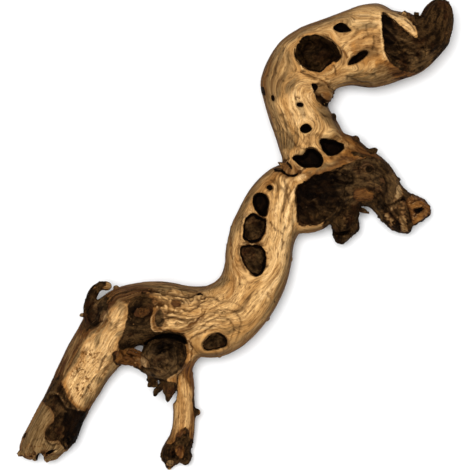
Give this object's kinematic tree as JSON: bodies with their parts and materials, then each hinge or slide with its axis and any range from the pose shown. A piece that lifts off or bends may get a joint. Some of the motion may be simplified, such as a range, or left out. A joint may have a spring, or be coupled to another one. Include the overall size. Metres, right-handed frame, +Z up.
{
  "type": "mopani root",
  "caption": "Gnarled branching hardwood root with hollows, bark and a hooked claw end, lying flat as a terrarium or display piece.",
  "frame": {"origin": "on the floor, below the middle of the root's box", "axes": "+Z up from the floor the root lies on; +Y towards the claw end, +X towards the side limb"},
  "size_m": [0.3476, 0.3746, 0.0621],
  "materials": {
    "sapwood": "bare pale sapwood, satin, with fine wavy grain",
    "weathered_wood": "bare wood with insect tracks and strips of grey-brown bark, matt",
    "tan_wood": "orange-tan wood, satin",
    "dark_bark": "rough dark bark and heartwood, matt",
    "red_root": "reddish root strands, satin"
  },
  "bodies": {
    "root": {"long_leg": "weathered_wood", "trunk": "sapwood", "upper_limb": "sapwood", "side_limb": "dark_bark", "side_knob": "dark_bark", "front_leg": "tan_wood", "burl": "dark_bark", "inner_knob": "dark_bark", "root_strand": "red_root", "curled_spur": "dark_bark", "bark_peg": "dark_bark", "left_flake": "dark_bark", "right_flake": "dark_bark", "leg_peg": "dark_bark"}
  },
  "joints": []
}
